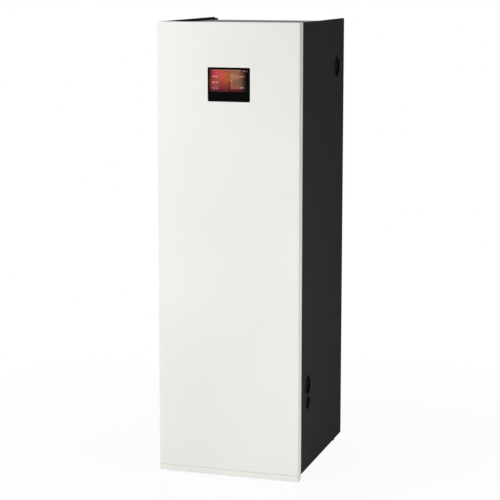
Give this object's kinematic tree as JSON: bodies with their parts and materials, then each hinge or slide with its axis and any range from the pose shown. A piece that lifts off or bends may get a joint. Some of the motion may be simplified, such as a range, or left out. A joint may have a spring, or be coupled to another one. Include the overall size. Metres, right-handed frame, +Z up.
{
  "type": "indoor tower unit of an air-to-water heat pump",
  "caption": "Tall floor-standing heat pump cabinet: white front door with a touch display, charcoal sides with blanked round openings, sunk galvanised top and levelling feet.",
  "frame": {"origin": "middle of the footprint, on the floor under the feet", "axes": "+Z up, the front faces -Y, +X is to the right seen from the front"},
  "size_m": [0.5924, 0.69, 1.84],
  "materials": {
    "front_white": "satin white powder coat",
    "side_charcoal": "matt charcoal powder coat",
    "plug_plastic": "matt black moulded plastic",
    "galvanised_sheet": "galvanised, fine spangle",
    "grommet_rubber": "matt black rubber",
    "foot_plastic": "matt black moulded plastic",
    "zinc_steel": "zinc plated",
    "display_plastic": "gloss black",
    "display_glass": "clear cover glass with a black border",
    "display_picture": "lit screen with a warm red and orange picture",
    "liner_foam": "dark sound-damping foam",
    "inner_foam": "dark moulded insulation"
  },
  "bodies": {
    "root": {"base_plate": "galvanised_sheet", "base_rail_left": "galvanised_sheet", "base_rail_right": "galvanised_sheet", "cable_grommets": "grommet_rubber", "display_glass": "display_glass", "display_housing": "display_plastic", "display_screen": "display_picture", "door_liner": "liner_foam", "foot_nut_front_left": "zinc_steel", "foot_nut_front_right": "zinc_steel", "foot_nut_rear_left": "zinc_steel", "foot_nut_rear_right": "zinc_steel", "foot_pad_front_left": "foot_plastic", "foot_pad_front_right": "foot_plastic", "foot_pad_rear_left": "foot_plastic", "foot_pad_rear_right": "foot_plastic", "foot_stud_front_left": "zinc_steel", "foot_stud_front_right": "zinc_steel", "foot_stud_rear_left": "zinc_steel", "foot_stud_rear_right": "zinc_steel", "front_panel": "front_white", "front_strip": "front_white", "inner_block": "inner_foam", "large_plug_left": "plug_plastic", "large_plug_right": "plug_plastic", "pipe_grommets": "grommet_rubber", "rear_panel": "galvanised_sheet", "side_panel_left": "side_charcoal", "side_panel_right": "side_charcoal", "small_plug_left": "plug_plastic", "small_plug_right": "plug_plastic", "top_tray": "galvanised_sheet", "upper_plug_left": "plug_plastic", "upper_plug_right": "plug_plastic"}
  },
  "joints": []
}
